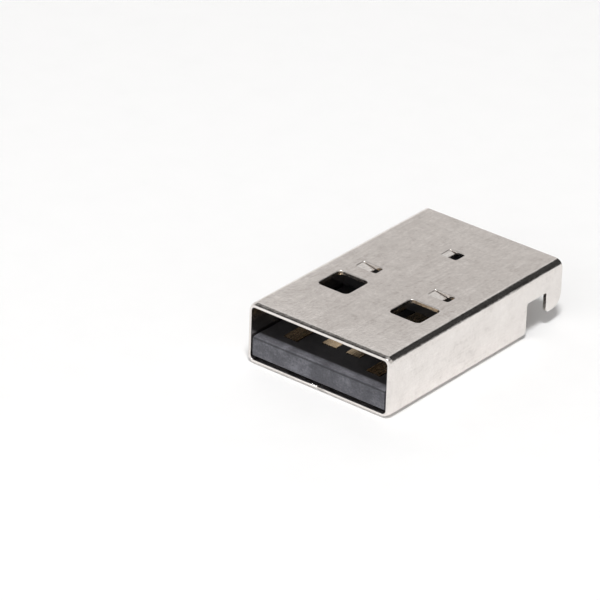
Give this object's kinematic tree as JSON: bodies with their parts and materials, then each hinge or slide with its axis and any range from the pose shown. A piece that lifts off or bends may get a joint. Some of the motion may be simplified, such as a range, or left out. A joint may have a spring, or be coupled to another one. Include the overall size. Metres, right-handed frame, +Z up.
{
  "type": "usb-a plug",
  "caption": "Board-mounted USB-A plug: a folded steel shell round a moulded insulator and stamped contacts, with legs and tails for an edge mount.",
  "frame": {"origin": "middle of the plug's outline on the surface that it lies on, which is the outside of the shell's seam side", "axes": "+X across the plug, +Y from the mouth to the tails, +Z up from the seam side through the tongue's contact side"},
  "size_m": [0.012, 0.0188, 0.0045],
  "materials": {
    "shell_steel": "nickel-plated sheet steel, satin, with small handling marks",
    "insulator_plastic": "moulded thermoplastic, fine spark-eroded texture",
    "contact_gold": "thin gold plating on copper alloy"
  },
  "bodies": {
    "root": {"shell": "shell_steel", "insulator": "insulator_plastic", "contact_ground": "contact_gold", "contact_data_plus": "contact_gold", "contact_data_minus": "contact_gold", "contact_power": "contact_gold"}
  },
  "joints": []
}
